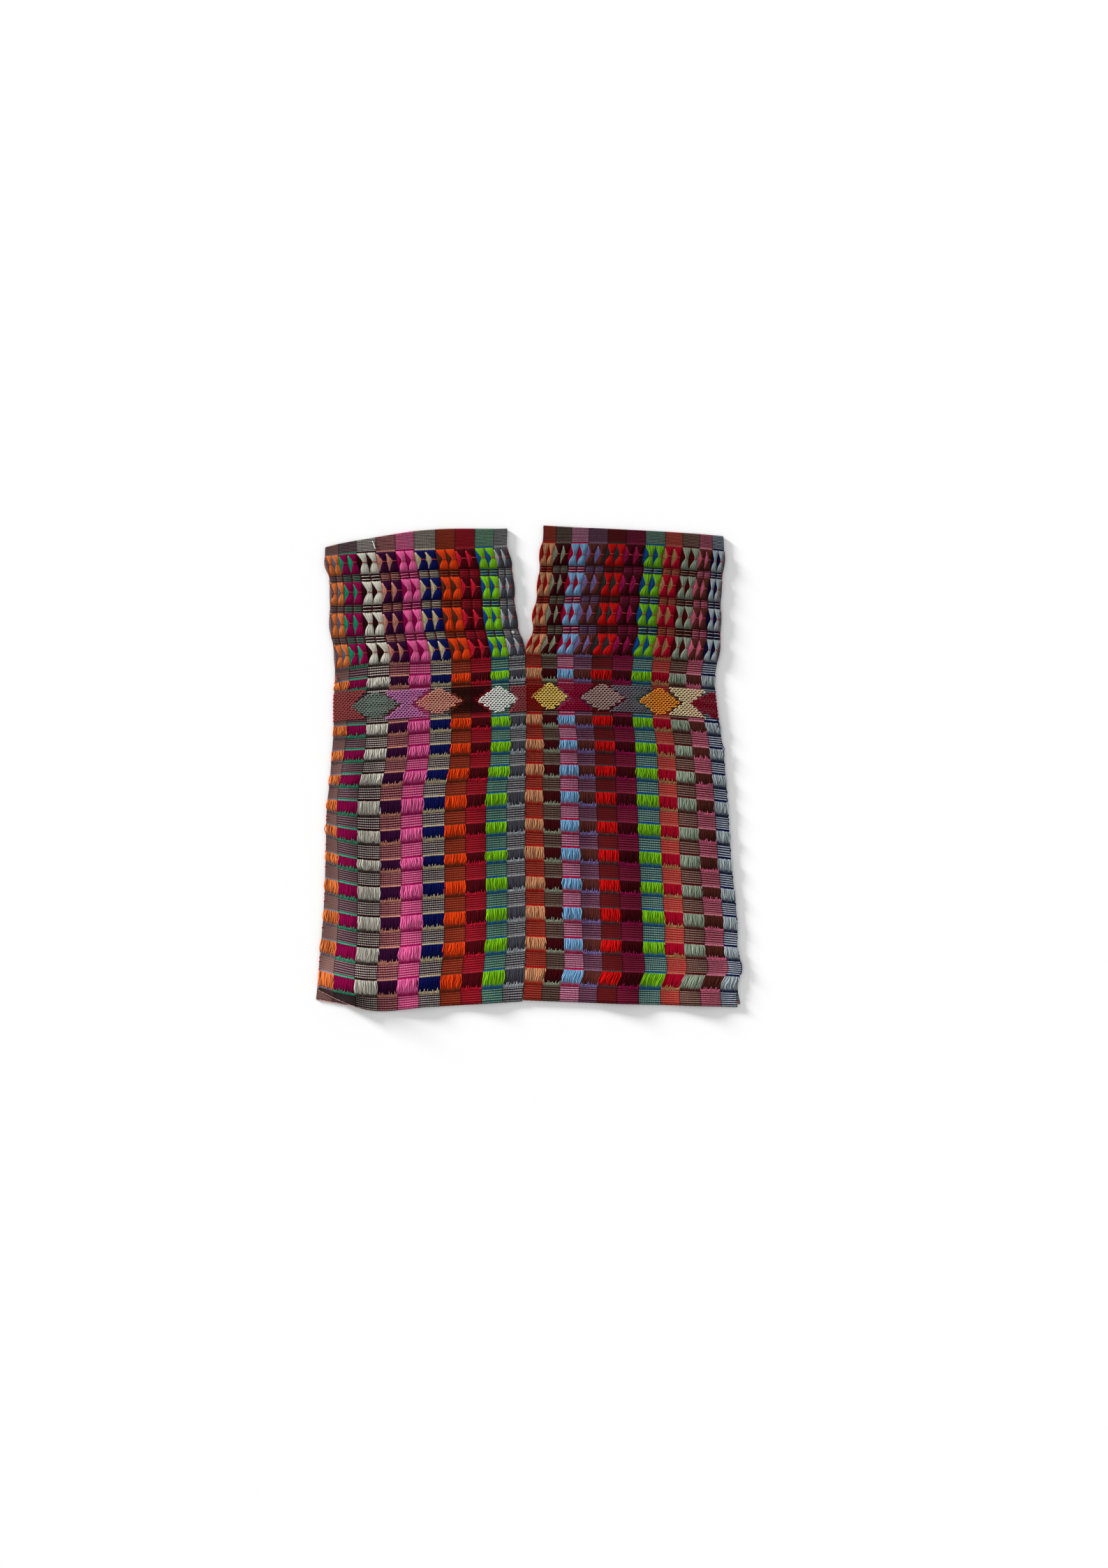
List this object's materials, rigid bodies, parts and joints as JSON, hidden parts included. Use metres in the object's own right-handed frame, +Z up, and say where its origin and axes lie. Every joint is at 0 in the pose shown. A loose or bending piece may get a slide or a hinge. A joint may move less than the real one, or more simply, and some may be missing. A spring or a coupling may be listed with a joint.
{
  "type": "blouse",
  "caption": "Sleeveless loom-woven blouse laid flat, two striped cotton panels folded at the shoulders and joined below an open V neck.",
  "frame": {"origin": "centre of the garment's outline, on the surface that it lies on", "axes": "+Z up from the surface, +Y towards the shoulders, +X towards the right of the laid-out front"},
  "size_m": [0.6098, 0.6946, 0.0184],
  "materials": {
    "left_cloth": "matte woven cotton",
    "right_cloth": "matte woven cotton"
  },
  "bodies": {
    "root": {"left_panel": "left_cloth", "right_panel": "right_cloth"}
  },
  "joints": []
}
